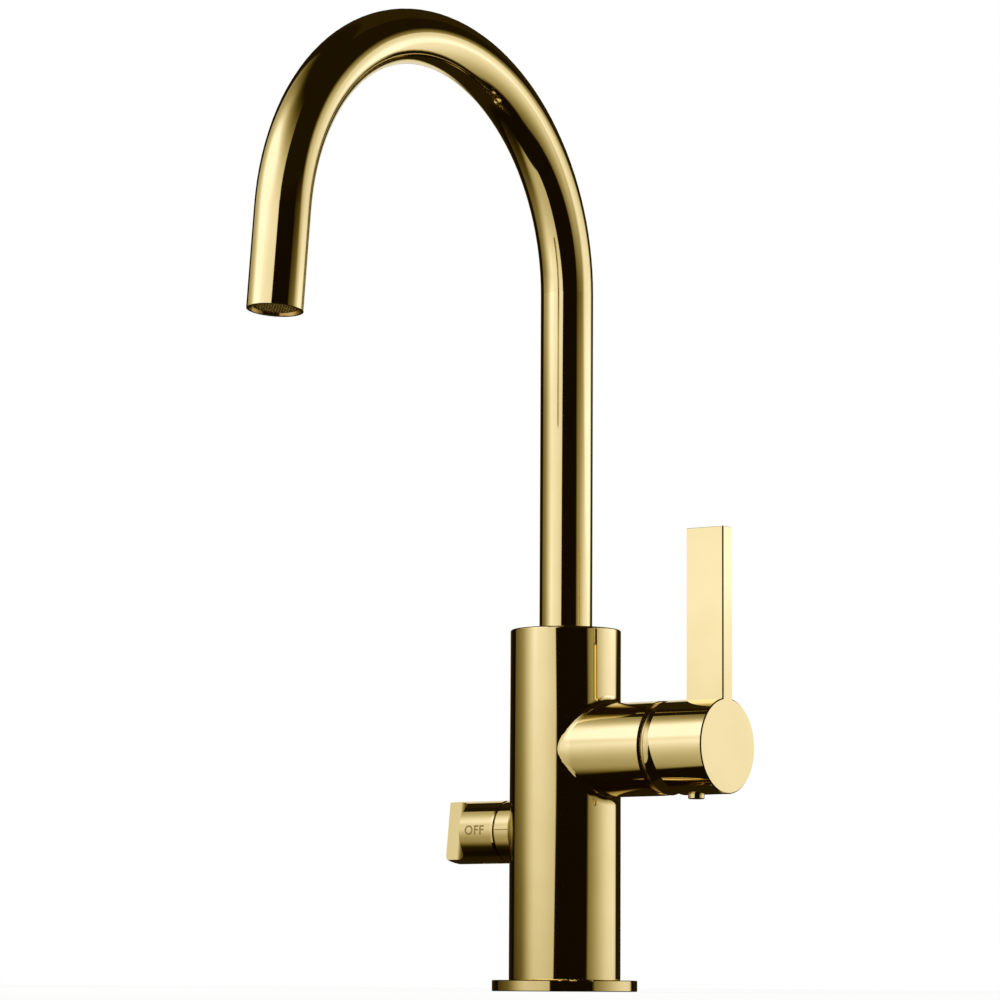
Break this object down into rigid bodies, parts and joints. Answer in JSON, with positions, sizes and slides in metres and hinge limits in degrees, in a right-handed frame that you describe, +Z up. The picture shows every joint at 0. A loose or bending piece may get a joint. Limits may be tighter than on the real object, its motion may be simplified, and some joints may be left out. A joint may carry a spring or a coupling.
{
  "type": "kitchen mixer tap",
  "caption": "Single-lever kitchen mixer tap with a round column, a swivelling gooseneck spout, a side lever on an arm and an appliance shut-off knob, in polished brass.",
  "frame": {"origin": "centre of the column's foot, on the deck plane", "axes": "+Z up along the column, +X along the lever's arm, -Y towards the user and along the spout at rest, -X along the shut-off knob"},
  "size_m": [0.1509, 0.2482, 0.427],
  "materials": {
    "polished_brass": "mirror polished, golden",
    "turned_brass": "turned, semi-bright",
    "screw_steel": "plain stainless",
    "disc_ceramic": "lapped ceramic",
    "cartridge_plastic": "moulded, satin",
    "slide_plastic": "turned, waxy",
    "strainer_plastic": "moulded, satin",
    "black_rubber": "moulded, matt"
  },
  "bodies": {
    "root": {"column": "polished_brass", "base_flange": "polished_brass", "base_gasket": "black_rubber", "cartridge_base": "cartridge_plastic", "cartridge_port_seals": "black_rubber", "disc_gasket": "black_rubber", "fixed_disc": "disc_ceramic", "cartridge_housing": "cartridge_plastic", "cartridge_nut": "turned_brass", "groove_ring": "turned_brass", "dome_collar": "polished_brass", "spout_stop_screw": "screw_steel", "valve_headwork": "turned_brass", "valve_seat_seal": "black_rubber", "valve_fixed_disc": "disc_ceramic", "valve_collar": "polished_brass"},
    "rotor": {"cartridge_rotor": "cartridge_plastic", "rotor_pin": "screw_steel"},
    "disc_slide": {"disc_carrier": "cartridge_plastic", "moving_disc": "disc_ceramic"},
    "lever": {"lever": "polished_brass", "cartridge_spindle": "screw_steel", "lever_screw": "polished_brass"},
    "spout": {"spout_tube": "polished_brass", "spout_foot": "turned_brass", "spout_orings": "black_rubber", "spout_slide_rings": "slide_plastic", "aerator_housing": "turned_brass", "aerator_insert": "strainer_plastic", "aerator_seal": "black_rubber"},
    "shutoff": {"shutoff_knob": "polished_brass", "valve_spindle": "turned_brass", "valve_spindle_orings": "black_rubber", "valve_moving_disc": "disc_ceramic", "valve_circlip": "screw_steel", "knob_screw": "screw_steel"}
  },
  "joints": [
    {"name": "spout_swivel", "type": "hinge", "parent": "root", "child": "spout", "pos_m": [0, 0, 0.146], "axis": [0, 0, 1], "range_deg": [-60, 60]},
    {"name": "temperature", "type": "hinge", "parent": "root", "child": "rotor", "pos_m": [0.0513, 0, 0.107], "axis": [1, 0, 0], "range_deg": [-45, 45]},
    {"name": "lever_lift", "type": "hinge", "parent": "rotor", "child": "lever", "pos_m": [0.0513, 0, 0.107], "axis": [0, 1, 0], "range_deg": [0, 18]},
    {"name": "disc_slide", "type": "slide", "parent": "rotor", "child": "disc_slide", "axis": [0, 0, 1], "range_m": [0, 0.0034]},
    {"name": "shutoff_turn", "type": "hinge", "parent": "root", "child": "shutoff", "pos_m": [-0.0303, 0, 0.0717], "axis": [-1, 0, 0], "range_deg": [0, 90]}
  ],
  "couplings": [
    {"joint": "disc_slide", "follows": "lever_lift", "m_per_rad": 0.0107}
  ]
}
